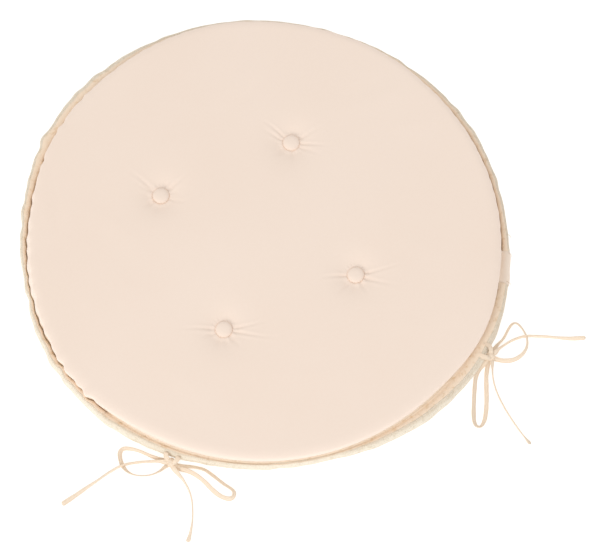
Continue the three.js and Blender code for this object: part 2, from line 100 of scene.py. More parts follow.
def make_studio():
    """A pale floor, an even sky and one large soft key from the side that faces the back edge."""
    scene = bpy.context.scene
    scene.view_settings.view_transform = "Standard"
    world = bpy.data.worlds.new("studio")
    scene.world = world
    world.use_nodes = True
    background = world.node_tree.nodes["Background"]
    background.inputs["Color"].default_value = (1, 0.985, 0.965, 1)
    background.inputs["Strength"].default_value = 0.84
    area_light("key", 0.9, 36, (2.35, 2.0, 1.95), (1, 0.99, 0.97))
    area_light("fill", 2.4, 2, (-1.2, 0.9, 2.2))
    reach = 6
    floor = bpy.data.meshes.new("floor")
    floor.from_pydata([(-reach, -reach, 0), (reach, -reach, 0), (reach, reach, 0), (-reach, reach, 0)],
                      [], [(0, 1, 2, 3)])
    floor_object = bpy.data.objects.new("floor", floor)
    floor_object.location.z = -0.3 * MM
    scene.collection.objects.link(floor_object)
    paper = bpy.data.materials.new("white_paper")
    paper.use_nodes = True
    shader = paper.node_tree.nodes["Principled BSDF"]
    shader.inputs["Base Color"].default_value = (0.6, 0.6, 0.6, 1)
    shader.inputs["Roughness"].default_value = 0.9
    shader.inputs["Emission Color"].default_value = (1, 1, 1, 1)
    shader.inputs["Emission Strength"].default_value = 0.62
    floor.materials.append(paper)


# ------------------------------------------------------------------ shader arithmetic
class Wire:
    """A shader socket that plain arithmetic works on; each operator adds the Math node that it means."""

    def __init__(self, tree, socket=None):
        self.tree, self.socket = tree, socket

    def add(self, kind, settings=None, values=None, output=0):
        """Adds a node: its settings first, then the values or links of its sockets."""
        node = self.tree.nodes.new(kind)
        for name, value in (settings or {}).items():
            setattr(node, name, value)
        for name, value in (values or {}).items():
            socket = node.inputs[name]
            if isinstance(value, Wire):
                self.tree.links.new(value.socket, socket)
            else:
                socket.default_value = value
        return Wire(self.tree, node.outputs[output])

    def math(self, operation, first, second=0.0, third=0.0, clamp=False):
        settings = {"operation": operation, "use_clamp": clamp}
        return self.add("ShaderNodeMath", settings, {0: first, 1: second, 2: third})

    def __add__(self, other):
        return self.math("ADD", self, other)

    def __sub__(self, other):
        return self.math("SUBTRACT", self, other)

    def __rsub__(self, other):
        return self.math("SUBTRACT", other, self)

    def __mul__(self, other):
        return self.math("MULTIPLY", self, other)

    __radd__ = __add__
    __rmul__ = __mul__

    def sin(self):
        return self.math("SINE", self)

    def abs(self):
        return self.math("ABSOLUTE", self)

    def clamp(self):
        return self.math("ADD", self, 0.0, clamp=True)

    def split(self):
        """The x, y and z of a vector."""
        node = self.add("ShaderNodeSeparateXYZ", values={0: self}).socket.node
        return [Wire(self.tree, output) for output in node.outputs]

    def mix(self, low, high):
        """Colour low where this value is 0, and colour high where it is 1."""
        return self.add("ShaderNodeMix", {"data_type": "RGBA"}, {0: self, 6: low, 7: high}, output=2)


def start_material(name, roughness, sheen=0.0, metallic=0.0):
    """A Principled material: returns it, its shader and a Wire to build nodes from."""
    material = bpy.data.materials.new(name)
    material.use_nodes = True
    shader = material.node_tree.nodes["Principled BSDF"]
    shader.inputs["Roughness"].default_value = roughness
    shader.inputs["Metallic"].default_value = metallic
    shader.inputs["Sheen Weight"].default_value = sheen
    shader.inputs["Sheen Roughness"].default_value = 0.5
    shader.inputs["Specular IOR Level"].default_value = 0.4
    return material, shader, Wire(material.node_tree)


def feed(wire, shader, **sockets):
    for name, value in sockets.items():
        wire.tree.links.new(value.socket, shader.inputs[name.replace("_", " ")])


def srgb(red, green, blue):
    """A display colour, 0 to 255, as the linear colour that a shader takes."""
    linear = [((c / 255 + 0.055) / 1.055) ** 2.4 if c > 10 else c / 255 / 12.92 for c in (red, green, blue)]
    return (*linear, 1)


# Painted shade: the dark brown laid on the lower strips' cloth at the bottom of the roll's groove, where the
# wall's shadow falls.
GROOVE_SHADE = srgb(150, 116, 78)


def woven(name, light, dark, thread, roughness=0.62, sheen=0.1, bump=0.12, blotch=0.35, fleck=None,
          painted_crease_shade=None):
    """Plain-woven cloth. Threads run along u and v of the piece's own UV map, which is in metres: the
    height is the larger of two rows of rounded threads that pass over and under each other. Soft
    blotches of slightly darker dye lie over it. fleck is the colour of slubs. The crease colour is painted
    shade in the small creases of cloth that was gathered into a seam, where the bump dips too; such cloth
    also takes painted shade, GROOVE_SHADE, where its own fold attribute is high."""
    material, shader, wire = start_material(name, roughness, sheen)
    uv = wire.add("ShaderNodeUVMap")
    across, along, _ = uv.split()
    pitch = math.pi / thread
    warp, weft = (across * pitch).sin(), (along * pitch).sin()
    over = warp * weft
    coords = wire.add("ShaderNodeTexCoord", output="Object")
    slub = wire.add("ShaderNodeTexNoise", values={"Vector": uv, "Scale": 420.0, "Detail": 2.0})
    cloud = wire.add("ShaderNodeTexNoise", values={"Vector": coords, "Scale": 9.0, "Detail": 3.0})
    height = over.abs() * 0.5 + warp.abs() * 0.25 + weft.abs() * 0.25 + slub * 0.4
    shade = ((cloud - 0.35) * blotch * 2 + (slub - 0.5) * 0.3 + (1 - over.abs()) * 0.12).clamp()
    color = shade.mix(srgb(*light), srgb(*dark))
    if painted_crease_shade is not None:
        folds = wire.add("ShaderNodeTexNoise", values={"Vector": coords, "Scale": 230.0, "Detail": 4.0,
                                                       "Roughness": 0.6})
        deep = ((0.47 - folds) * 6).clamp()
        # Painted shade: the colour is drawn towards the crease colour where the small creases are deepest.
        color = (deep * 0.75).mix(color, srgb(*painted_crease_shade))
        height = height - deep * 0.9
        # Painted shade: the fold attribute, high at the bottom of the groove, draws the colour towards
        # GROOVE_SHADE.
        fold = wire.add("ShaderNodeAttribute", {"attribute_name": "fold"}, output="Fac")
        color = fold.mix(color, GROOVE_SHADE)
    if fleck is not None:
        grain = wire.add("ShaderNodeTexNoise", values={"Vector": coords, "Scale": 1150.0, "Detail": 1.0})
        speck = ((grain - 0.54) * 6).clamp() * 0.6
        color = speck.mix(color, srgb(*fleck))
    normal = wire.add("ShaderNodeBump", values={"Strength": bump, "Distance": 0.2 * MM, "Height": height})
    feed(wire, shader, Base_Color=color, Normal=normal, Roughness=roughness - 0.08 + height * 0.08)
    return material


def spun(name, light, dark, turns=2200.0):
    """Thread or twine: fine slanted stripes from two plies, on the piece's own UV map."""
    material, shader, wire = start_material(name, 0.7, 0.2)
    along, around_it, _ = wire.add("ShaderNodeUVMap").split()
    slant = (along * turns + around_it * turns).sin()
    shade = (slant * 0.5 + 0.5).clamp()
    normal = wire.add("ShaderNodeBump", values={"Strength": 0.3, "Distance": 0.1 * MM, "Height": shade})
    feed(wire, shader, Base_Color=shade.mix(srgb(*dark), srgb(*light)), Normal=normal)
    return material


def grained(name, light, dark, scale, roughness, bump=0.1, metallic=0.0):
    """Moulded, cast, foamed or felted stuff: one noise on Object coordinates for colour, gloss and relief."""
    material, shader, wire = start_material(name, roughness, 0.0, metallic)
    coords = wire.add("ShaderNodeTexCoord", output="Object")
    grain = wire.add("ShaderNodeTexNoise", values={"Vector": coords, "Scale": scale, "Detail": 3.0})
    wear = wire.add("ShaderNodeTexNoise", values={"Vector": coords, "Scale": scale * 0.07, "Detail": 2.0})
    normal = wire.add("ShaderNodeBump", values={"Strength": bump, "Distance": 0.3 * MM, "Height": grain})
    color = (grain * 0.5 + wear * 0.5).clamp().mix(srgb(*dark), srgb(*light))
    feed(wire, shader, Base_Color=color, Normal=normal, Roughness=(wear * 0.2 + (roughness - 0.1)).clamp())
    return material


def make_materials():
    return {
        "cotton": woven("peach_cotton", (244, 227, 214), (239, 219, 203), 0.42 * MM),
        # The lower strips' cotton: a darker, more orange copy of the peach cotton; part of the difference is
        # painted shade and light bounced between the wall and the roll.
        "edge": woven("peach_cotton_shaded_edge", (243, 225, 204), (236, 212, 185), 0.42 * MM, blotch=0.5,
                      painted_crease_shade=(222, 194, 158)),
        "tab": woven("tab_cotton", (240, 224, 208), (234, 214, 196), 0.42 * MM),
        # The base cloth's crease colour is painted shade in its small creases.
        "base": woven("speckled_base_cloth", (240, 231, 215), (227, 215, 195), 0.6 * MM, 0.95, 0.1,
                      bump=0.3, blotch=0.5, fleck=(206, 194, 172), painted_crease_shade=(220, 206, 182)),
        "tape": woven("folded_tape", (243, 225, 204), (232, 209, 183), 0.45 * MM, 0.85, 0.2, bump=0.45),
        "zip_tape": grained("zip_tape_weave", (240, 222, 200), (224, 202, 176), 900.0, 0.9, 0.4),
        "waxed_core": grained("waxed_twine_core", (240, 228, 208), (204, 186, 158), 1200.0, 0.7, 0.4),
        "thread": spun("cream_thread", (252, 242, 226), (232, 216, 194)),
        "lock_thread": spun("off_white_thread", (244, 236, 224), (232, 220, 203)),
        # Darker tan thread for the tab's stitch rows: partly the thread's colour, partly painted shade of the
        # thin grooves that the rows sew into the roll.
        "shaded_seam_thread": spun("shaded_tan_thread", (206, 178, 148), (184, 154, 122)),
        "twine": spun("waxed_twine", (240, 228, 208), (204, 186, 158), 3000.0),
        "foam": grained("open_cell_foam", (248, 240, 208), (228, 214, 170), 700.0, 1.0, 0.5),
        "wadding": grained("felted_wadding", (252, 251, 247), (236, 234, 228), 260.0, 1.0, 0.6),
        "nylon": grained("zip_nylon", (240, 226, 206), (222, 204, 180), 900.0, 0.4, 0.05),
        "enamel": grained("enamelled_zip_metal", (238, 220, 198), (222, 202, 178), 500.0, 0.35, 0.04, 0.3),
        "steel": grained("bright_steel", (198, 198, 196), (160, 160, 158), 800.0, 0.35, 0.05, 0.95),
        "plastic": grained("button_plastic", (246, 242, 232), (232, 226, 212), 300.0, 0.35, 0.03),
    }


# ------------------------------------------------------------------ building surfaces
def new_object(name, mesh, material, body="pad", replaces=()):
    thing = bpy.data.objects.new(name, mesh)
    bpy.context.scene.collection.objects.link(thing)
    mesh.materials.clear()
    mesh.materials.append(material)
    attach(thing, body)
    if replaces:
        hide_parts(*replaces)
    return thing


def surface(name, grids, closed_rows=False, closed_columns=False, capped=False):
    """A mesh from one or more grids of points. Each grid is (points, uv), both rows by columns. Rows and
    columns may close on themselves; capped fills the loops at the first and last row. Points that
    coincide are merged, which closes poles, and the normals are then made to face outwards."""
    vertices, faces, corners = [], [], []
    start = 0
    for points, uv in grids:
        rows, columns = points.shape[:2]
        index = start + np.arange(rows * columns).reshape(rows, columns)
        chart = np.array(uv, float)
        if closed_rows:
            index = np.vstack([index, index[:1]])
            chart = np.concatenate([chart, 2 * chart[-1:] - chart[-2:-1]], axis=0)
        if closed_columns:
            index = np.hstack([index, index[:, :1]])
            chart = np.concatenate([chart, 2 * chart[:, -1:] - chart[:, -2:-1]], axis=1)
        sides = (slice(None, -1), slice(1, None))
        order = [(0, 0), (1, 0), (1, 1), (0, 1)]
        faces.append(np.stack([index[sides[i], sides[j]] for i, j in order], -1).reshape(-1, 4))
        corners.append(np.stack([chart[sides[i], sides[j]] for i, j in order], 2).reshape(-1, 2))
        vertices.append(points.reshape(-1, 3))
        start += rows * columns
    mesh = bpy.data.meshes.new(name)
    vertices, faces = np.concatenate(vertices), np.concatenate(faces)
    mesh.vertices.add(len(vertices))
    mesh.vertices.foreach_set("co", vertices.astype(np.float32).ravel())
    mesh.loops.add(faces.size)
    mesh.loops.foreach_set("vertex_index", faces.astype(np.int32).ravel())
    mesh.polygons.add(len(faces))
    mesh.polygons.foreach_set("loop_start", np.arange(0, faces.size, 4, dtype=np.int32))
    corners = np.concatenate(corners).astype(np.float32)
    mesh.uv_layers.new(name="UVMap").data.foreach_set("uv", corners.ravel())
    mesh.update(calc_edges=True)
    shell = bmesh.new()
    shell.from_mesh(mesh)
    if capped:
        start = 0
        shell.verts.ensure_lookup_table()
        for points, _ in grids:
            rows, columns = points.shape[:2]
            for row in (0, rows - 1):
                first = start + row * columns
                shell.faces.new([shell.verts[first + k] for k in range(columns)])
            start += rows * columns
    bmesh.ops.remove_doubles(shell, verts=shell.verts, dist=1e-7)
    bmesh.ops.recalc_face_normals(shell, faces=shell.faces)
    shell.to_mesh(mesh)
    shell.free()
    mesh.polygons.foreach_set("use_smooth", np.ones(len(mesh.polygons), bool))
    return mesh


def flow(points, count):
    """A smooth line through points (first axis), as a Catmull-Rom spline sampled at count places."""
    points = np.asarray(points, float)
    padded = np.concatenate([2 * points[:1] - points[1:2], points, 2 * points[-1:] - points[-2:-1]])
    place = np.linspace(0, len(points) - 1, count)
    first = np.minimum(place.astype(int), len(points) - 2)
    t = (place - first).reshape((-1,) + (1,) * (points.ndim - 1))
    a, b, c, d = (padded[first + k] for k in range(4))
    return 0.5 * (2 * b + (c - a) * t + (2 * a - 5 * b + 4 * c - d) * t**2 + (3 * b - a - 3 * c + d) * t**3)


def joined(*parts):
    """Arrays or numbers of matching shapes, side by side along a new last axis."""
    return np.stack(np.broadcast_arrays(*parts), -1)


def whole_turn(count, turn=TAU):
    """Evenly spaced angles round a closed ring, without the last one that would repeat the first."""
    return np.linspace(0, turn, count, endpoint=False)


def unit(vectors):
    """Each vector (last axis) brought to length 1."""
    return vectors / np.maximum(np.linalg.norm(vectors, axis=-1, keepdims=True), 1e-9)


def lap(angle, centre):
    """Degrees from a centre to an angle, the short way round."""
    return (np.asarray(angle) - centre + 180) % 360 - 180


def swell(angle, centre, width):
    """A smooth bump, 1 at its centre, that dies away on both sides."""
    return np.exp(-(lap(angle, centre) / width) ** 2)


def swells(angle, rows):
    """A sum of swells, each a row of middle, half-width and height."""
    return sum(height * swell(angle, middle, width) for middle, width, height in rows)


def ripple(angle, *waves):
    """A sum of waves round the pad: each is (turns, height, start)."""
    turn = np.radians(angle)
    return sum(height * np.sin(count * turn + start) for count, height, start in waves)


def travelled(line):
    """Distance from the start of a line (first axis) to each of its points."""
    return np.concatenate([[0], np.cumsum(np.linalg.norm(np.diff(line, axis=0), axis=1))])


def around(radius, height, angle):
    """Points from a radius, a height and an angle in degrees, which are arrays or numbers."""
    turn = np.radians(angle)
    return joined(radius * np.cos(turn), radius * np.sin(turn), height)


# ------------------------------------------------------------------ how the soft shape runs
def in_zip(angle):
    """1 along the zip, 0 round the front, with a soft step of about 3 degrees."""
    middle, half = (ZIP_FROM + ZIP_TO) / 2, (ZIP_TO - ZIP_FROM) / 2
    return 1 / (1 + np.exp((np.abs(lap(angle, middle)) - half) / 1.2))


def seam_angle(angle):
    """Degrees up the roll where the base cloth meets the cotton; the seam wanders as it was sewn."""
    dips = 30 * swell(angle, 146, 24) + 18 * swell(angle, 318, 26)
    return 82 - dips + ripple(angle, (11, 3, 0.5), (19, 2, 1.0))


# Broad swells of the rolled edge and of the boxing: middle and half-width in degrees, height in mm.
ROLL_SWELLS = [
    (129, 24, 7.0), (72, 17, -4.2), (31, 12, 2.0), (295, 24, 4.2), (350, 14, -3.6), (217, 22, -1.8),
    (236, 22, -3.0), (284, 20, -1.6), (330, 9, -2.0), (170, 20, -1.0), (207, 10, -0.6), (110, 9, 1.2),
    (88, 6, -1.2), (70, 7, 1.6), (10, 8, 1.0)]
WALL_SWELLS = [(334, 15, -1.6), (292, 10, -0.8), (204, 10, -0.9), (262, 15, 1.1)]
SHOULDER_SWELLS = [
    (134, 14, 3.8), (22, 13, 3.2), (75, 30, 1.4), (346, 18, -2.2), (192, 22, -1.6), (236, 26, -2.0)]


def roll_bulge(angle):
    """How far the rolled edge stands out past, or stays short of, its nominal radius."""
    broad = swells(angle, ROLL_SWELLS)
    crumpled = 0.4 + 1.0 * swell(angle, 316, 28) + 0.6 * swell(angle, 8, 18) + 0.4 * swell(angle, 196, 22)
    fine = ripple(angle, (23, 0.3, 1.1), (37, 0.35, 0.4), (55, 0.4, 2.6), (73, 0.25, 4.0), (101, 0.12, 1.0))
    return (broad + crumpled * fine) * MM


def wall_bulge(angle):
    """How far the upright boxing stands out at the slit. It is drawn in round the front, where the top
    shrank in sewing, lumpy where the roll is crumpled, and even where the zip's slider has to pass."""
    drawn = -3.0 * np.exp(-np.abs(lap(angle, 262) / 96) ** 6)
    broad = swells(angle, WALL_SWELLS)
    crumpled = 0.4 + 0.8 * swell(angle, 352, 20) + 0.8 * swell(angle, 312, 18) + 2.0 * swell(angle, 22, 10)
    fine = ripple(angle, (31, 0.15, 0.2), (59, 0.25, 1.4), (97, 0.3, 3.0), (131, 0.15, 1.0))
    return (drawn + (broad + crumpled * fine) * (1 - in_zip(angle))) * MM


def shoulder_bulge(angle):
    """The boxing's place at the top seam: the filling pushes the top out past the zip in places."""
    return wall_bulge(angle) + swells(angle, SHOULDER_SWELLS) * MM


def seam_pucker(angle):
    """How the top seam rises and falls between its stitches."""
    return ripple(angle, (60, 0.1, 0.3), (83, 0.08, 1.9), (29, 0.12, 0.9)) * MM


BUTTON_BOXES = [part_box(f"button_cover_{number}") for number in range(1, 5)]
TUFTS = [((low.x + high.x) / 2, (low.y + high.y) / 2) for low, high in BUTTON_BOXES]

# Drawn creases of each tuft: direction in degrees from +X, length and depth in mm, width in degrees.
CREASES = [
    [(302, 40, 1.0, 9), (312, 27, 0.8, 8), (203, 34, 1.0, 8), (222, 18, 0.8, 7), (230, 14, 0.7, 6),
     (20, 17, 1.0, 12), (142, 24, 0.5, 10), (60, 16, 0.5, 12)],
    [(300, 34, 1.1, 7), (316, 26, 0.9, 8), (191, 29, 1.1, 8), (156, 35, 1.0, 7), (133, 30, 0.6, 9),
     (20, 22, 0.8, 14), (78, 20, 0.6, 14)],
    [(340, 40, 1.1, 7), (170, 38, 1.1, 7), (149, 48, 1.0, 7), (0, 20, 0.8, 10), (110, 22, 0.8, 10),
     (50, 22, 0.8, 12), (78, 16, 0.6, 9)],
    [(173, 43, 1.1, 7), (143, 38, 1.1, 8), (345, 31, 1.2, 8), (30, 30, 1.0, 10), (100, 20, 0.8, 10),
     (60, 16, 0.6, 12), (205, 20, 0.5, 12)],
]


def plain_top(x, y):
    """Height of the top without its creases: a low crown, and at each tuft a hollow with a flat floor
    under the button and sides that ease out like a bell."""
    out = np.hypot(x, y)
    height = CROWN - (CROWN - EDGE_TOP) * out / WALL_RADIUS
    for centre_x, centre_y in TUFTS:
        away = np.hypot(x - centre_x, y - centre_y)
        slope = np.clip((away - 0.8 * BUTTON_RADIUS) / TUFT_REACH, 0, None)
        height = height - TUFT_DEPTH * np.exp(-(slope / 0.36) ** 1.2)
    return height


def creased_top(x, y):
    """The plain top with creases that run out from each button, each a narrow valley between two low
    ridges, and a few long soft wrinkles and slack places between them."""
    height = plain_top(x, y)
    for (centre_x, centre_y), creases in zip(TUFTS, CREASES):
        away = np.hypot(x - centre_x, y - centre_y) / MM
        turn = np.degrees(np.arctan2(y - centre_y, x - centre_x))
        near = BUTTON_RADIUS / MM
        for direction, length, depth, width in creases:
            reach = np.clip((away - near * 0.7) / (0.85 * length), 0, 1)
            off = lap(turn, direction + 2 * np.sin(away / 11 + depth * 9))
            # A crease narrows in angle as it runs out, so that its real width stays about the same.
            narrow = width * np.clip(near * 1.25 / np.maximum(away, 1), 0.18, 1)
            fold = np.exp(-(off / narrow) ** 2) - 0.55 * np.exp(-((np.abs(off) - 2 * narrow) / narrow) ** 2)
            fade = (1 - reach) ** 1.3 * np.clip((away - near * 0.75) / 2.5, 0, 1)
            height = height - 0.85 * depth * MM * fold * fade
        height = height + 1.15 * MM * np.exp(-((away - near) / 2.3) ** 2)
        gather = np.sin(np.radians(turn) * 19 + centre_x * 90) * np.exp(-((away - near - 1.5) / 2.6) ** 2)
        height = height - 0.16 * MM * gather
    return height + wrinkles(x, y)


# Long soft wrinkles: middle x and y in mm, direction in degrees, length, width and height in mm.
WRINKLES = [
    (-20, -128, 205, 46, 6, 0.35), (-34, -120, 210, 40, 5, -0.3), (-136, -78, 185, 60, 7, 0.3),
    (-128, -92, 190, 52, 6, -0.25), (-146, -48, 175, 44, 6, 0.25), (160, -70, 250, 40, 5, 0.35),
    (152, -62, 245, 42, 5, -0.3), (120, 10, 280, 70, 9, 0.2), (60, -120, 230, 60, 9, 0.2),
    (-118, 60, 130, 60, 9, 0.2), (0, 0, 20, 90, 16, 0.18), (10, 130, 160, 80, 9, 0.2),
    (100, 105, 120, 50, 7, 0.22), (-90, 120, 170, 46, 7, 0.2), (110, -45, 300, 60, 8, 0.25),
]


def wrinkles(x, y):
    """Each wrinkle is a ridge on a slightly bowed line, highest at its middle; under them all the cloth
    sways by a tenth of a millimetre or two."""
    total = 0.12 * MM * np.sin(x / 0.021 + 0.7 * np.sin(y / 0.034)) * np.cos(y / 0.027)
    for middle_x, middle_y, direction, length, width, height in WRINKLES:
        turn = math.radians(direction)
        along = (x / MM - middle_x) * math.cos(turn) + (y / MM - middle_y) * math.sin(turn)
        across = -(x / MM - middle_x) * math.sin(turn) + (y / MM - middle_y) * math.cos(turn)
        across = across - 0.004 * along**2
        total = total + height * MM * np.exp(-(across / width) ** 2 - (2 * along / length) ** 2)
    return total


def hollow_floor(x, y, depth=3.4 * MM):
    """How far the underside is pulled up round each back button."""
    lift = 0
    for centre_x, centre_y in TUFTS:
        away = np.hypot(x - centre_x, y - centre_y)
        slope = np.clip((away - 7.6 * MM) / (9 * MM), 0, None)
        lift = lift + depth * np.exp(-(slope / 0.45) ** 1.5)
    return lift


def roll_point(angle, psi, inset=0.0):
    """(radius, height) on the rolled edge's section, an upright oval whose outer side moves with
    roll_bulge: psi is degrees up from its outermost point, and inset lies inside the cloth."""
    outermost, wall = PAD_RADIUS + roll_bulge(angle), WALL_RADIUS + wall_bulge(angle)
    half_width = np.maximum(outermost - wall + 1.6 * MM * in_zip(angle), 5.6 * MM) / 2
    middle = outermost - half_width
    crest = ROLL + (0.9 * MM) * (1 - in_zip(angle)) * (psi > 0)
    turn = np.radians(psi)
    return middle + (half_width - inset) * np.cos(turn), ROLL + (crest - inset) * np.sin(turn)


# ------------------------------------------------------------------ cover
def top_grid(heights, columns, rings, drop):
    """A polar grid over the top. Rings reach the shoulder, and then follow its quarter-oval down."""
    angle = whole_turn(columns, 360)
    flat = WALL_RADIUS - SHOULDER
    bend = np.radians(np.linspace(0, 90, 10)[1:])
    reach = np.concatenate([rings, flat + SHOULDER * np.sin(bend)])
    fall = np.concatenate([np.zeros(len(rings)), 1 - np.cos(bend)])
    radius = reach[:, None] + shoulder_bulge(angle)[None] * np.clip(reach / WALL_RADIUS, 0, 1)[:, None] ** 10
    turn = np.radians(angle)[None]
    x, y = radius * np.cos(turn), radius * np.sin(turn)
    pucker = seam_pucker(angle)[None]
    fall = fall[:, None]
    height = heights(x, y) - fall * (EDGE_TOP - TOP_SEAM - 0.3 * MM) + pucker * fall**0.7 - drop
    return np.stack([x, y, height], -1), np.stack([x, y], -1)


def make_top(materials):
    """Closed cloth: the creased outside, joined under its rim to a plain inside of coarser rings."""
    flat = WALL_RADIUS - SHOULDER
    fine = np.concatenate([np.linspace(0, 52, 16)[:-1], np.linspace(52, 122, 84)[:-1],
                           np.linspace(122, flat / MM, 24)]) * MM
    outside, chart = top_grid(creased_top, 580, fine, 0)
    coarse = np.linspace(0, flat, 30)
    inside, inner_chart = top_grid(plain_top, 580, coarse, 1.9 * MM)
    inside[..., :2] *= 1 - 1.0 * MM / WALL_RADIUS
    rim = outside[-1:].copy()
    rim[..., 2] -= 0.3 * MM
    points = np.concatenate([outside, rim, inside[::-1][1:]])
    charts = np.concatenate([chart, chart[-1:] * 1.002, inner_chart[::-1][1:]])
    mesh = surface("top_cover", [(points, charts)], closed_columns=True)
    top = new_object("top_cover", mesh, materials["cotton"], replaces=["top_panel"])
    return top


def make_filling(materials):
    """Wadding and foam under the cover: each is a disc whose top follows the plain top, lowered."""
    rings = np.concatenate([np.linspace(0, 60, 12)[:-1], np.linspace(60, 120, 26)[:-1],
                            np.linspace(120, 182, 16)]) * MM
    angle = whole_turn(240, 360)
    turn = np.radians(angle)[None]
    x, y = rings[:, None] * np.cos(turn), rings[:, None] * np.sin(turn)
    top = plain_top(x, y)

    def disc(name, upper, lower, edge, node):
        rim = around(*edge, angle[None])
        points = np.concatenate([np.stack([x, y, upper], -1), rim, np.stack([x, y, lower], -1)[::-1]])
        mesh = surface(name, [(points, points[..., :2])], closed_columns=True)
        piece = new_object(name, mesh, materials[name], replaces=[node])

    wadding_foot = np.minimum(FOAM_TOP + 0.3 * MM, top - 3.7 * MM)
    drawn_in = np.minimum(np.minimum(wall_bulge(angle), shoulder_bulge(angle)), 0)
    spread = np.array([186, 190, 191.5, 191.6, 190])[:, None] * MM + drawn_in
    fuzz = 0.15 * MM * np.sin(np.radians(angle) * 40)
    heights = (np.array([22.3, 21.8, 21.0, 19.6, 18.9])[:, None] * MM) + fuzz
    disc("wadding", top - 2.2 * MM, wadding_foot, (spread, heights), "wadding_top")
    foam_top = np.minimum(FOAM_TOP, top - 4.0 * MM)
    foam_foot = 1.2 * MM + hollow_floor(x, y)
    section = [(184.8, FOAM_TOP / MM), (185.4, 17.9), (185.6, 12), (185.8, 4.2)]
    wall = [np.full((2, len(angle)), [[r * MM], [h * MM]]) for r, h in section]
    roll = [np.array(roll_point(angle, psi, 1.6 * MM)) for psi in (120, 90, 60, 30, 0, -30, -60, -85)]
    edge = np.stack(wall + roll)
    disc("foam", foam_top, foam_foot, (edge[:, 0], edge[:, 1]), "foam_disc")


def make_bottom(materials):
    """The base cloth: from its seam on the roll, round under the pad, to the middle; closed inside."""
    angle = whole_turn(420, 360)
    arcs = np.linspace(1, 0, 22)[:, None] * (seam_angle(angle) + 80) - 80
    rings = np.concatenate([np.linspace(192, 120, 22), np.linspace(118, 56, 56), np.linspace(50, 0, 10)]) * MM
    turn = np.radians(angle)[None]

    def side(inset, sway):
        curved = around(*roll_point(angle, arcs, inset), angle)
        x, y = rings[:, None] * np.cos(turn), rings[:, None] * np.sin(turn)
        folds = 0
        for centre_x, centre_y in TUFTS:
            away = np.hypot(x - centre_x, y - centre_y) / MM
            spin = np.arctan2(y - centre_y, x - centre_x)
            folds = folds + (0.5 + 0.5 * np.sin(9 * spin + 60 * centre_x)) * np.exp(-((away - 12) / 5) ** 2)
        flat = np.stack([x, y, inset + hollow_floor(x, y) + sway * 0.35 * MM * folds], -1)
        return np.concatenate([curved, flat])

    outside, inside = side(0.0, 1), side(CLOTH, 1)
    girth = travelled(outside[:, 0])
    chart = outside[..., :2].copy()
    chart[:22] = joined(np.radians(angle)[None] * PAD_RADIUS, -girth[:22, None])
    # The two surfaces meet at the seam: the last row of the inside joins the first of the outside.
    points = np.concatenate([outside, inside[::-1], outside[:1]])
    charts = np.concatenate([chart, chart[::-1], chart[:1]])
    mesh = surface("base_cover", [(points, charts)], closed_columns=True)
    new_object("base_cover", mesh, materials["base"], replaces=["bottom_panel"])


STRIP_ROWS = 26                     # rows of points up the outside of a strip
GROOVE_ROW = 15                     # the one at the bottom of the lower strip's groove


def cloth_strip(name, angle, line, thickness, material, node, fold=0.0):
    """A strip of cloth round the pad. line gives the outside's (radius, height) control points from its
    lower to its upper edge for an array of angles; the inside lies its thickness further in."""
    control = np.stack([np.stack(np.broadcast_arrays(r, h, angle)[:2]) for r, h in line(angle)])
    outer = flow(control, STRIP_ROWS)
    slope = np.gradient(outer, axis=0)
    length = np.maximum(np.hypot(slope[:, 0], slope[:, 1]), 1e-9)
    inner = outer.copy()
    inner[:, 0] -= thickness * slope[:, 1] / length
    inner[:, 1] += thickness * slope[:, 0] / length
    loop = np.concatenate([outer, inner[::-1]])
    points = around(loop[:, 0], loop[:, 1], angle[None]).transpose(1, 0, 2)
    step = np.linalg.norm(np.diff(loop, axis=0), axis=1)
    drift = np.concatenate([np.zeros((1, len(angle))), np.cumsum(step, axis=0)]).T
    run = np.broadcast_to(np.radians(angle)[:, None] * WALL_RADIUS, drift.shape)
    mesh = surface(name, [(points, np.stack([run, drift], -1))], closed_columns=True, capped=True)
    if fold:
        # Painted shade: the fold attribute darkens the cloth at the bottom of its groove, where the wall's
        # shadow falls; a bell over the rows, deeper round the front.
        bell = np.exp(-((np.arange(2 * STRIP_ROWS) - GROOVE_ROW) / 2.2) ** 2)
        rows = bell[None] * (fold * (1 - 0.75 * in_zip(angle)))[:, None]
        shade = np.zeros(len(mesh.vertices), np.float32)
        shade[:rows.size] = rows.ravel()
        mesh.attributes.new("fold", "FLOAT", "POINT").data.foreach_set("value", shade)
    return new_object(name, mesh, material, replaces=[node])


def half_slit(angle):
    """From the slit's middle to its folded edge: open for the zip, and nearly shut round the front."""
    return (0.2 + 0.4 * in_zip(angle)) * MM


def upper_line(angle):
    """The upright strip: its fold over the slit, a slight belly, and in again to the top seam."""
    bulge, high = wall_bulge(angle), shoulder_bulge(angle)
    closed = 1 - in_zip(angle)
    sway = ripple(angle, (47, 0.12, 0.3), (79, 0.08, 2.0)) * MM * closed
    gap = SLIT + half_slit(angle) + sway
    belly = (0.2 + 0.25 * closed) * MM
    return [
        (WALL_RADIUS - HEM + bulge, gap + 0.05 * MM),
        (WALL_RADIUS - 0.6 * MM + bulge, gap),
        (WALL_RADIUS - 0.05 * MM + bulge, gap + 0.3 * MM),
        (WALL_RADIUS + 0.15 * MM + bulge, gap + 1.6 * MM),
        (WALL_RADIUS + belly + 0.4 * bulge + 0.6 * high, (gap + TOP_SEAM) / 2 + 0.3 * MM),
        (WALL_RADIUS + 0.25 * MM + high, TOP_SEAM - 1.6 * MM),
        (WALL_RADIUS - 0.35 * MM + high, TOP_SEAM - 0.1 * MM + seam_pucker(angle)),
    ]


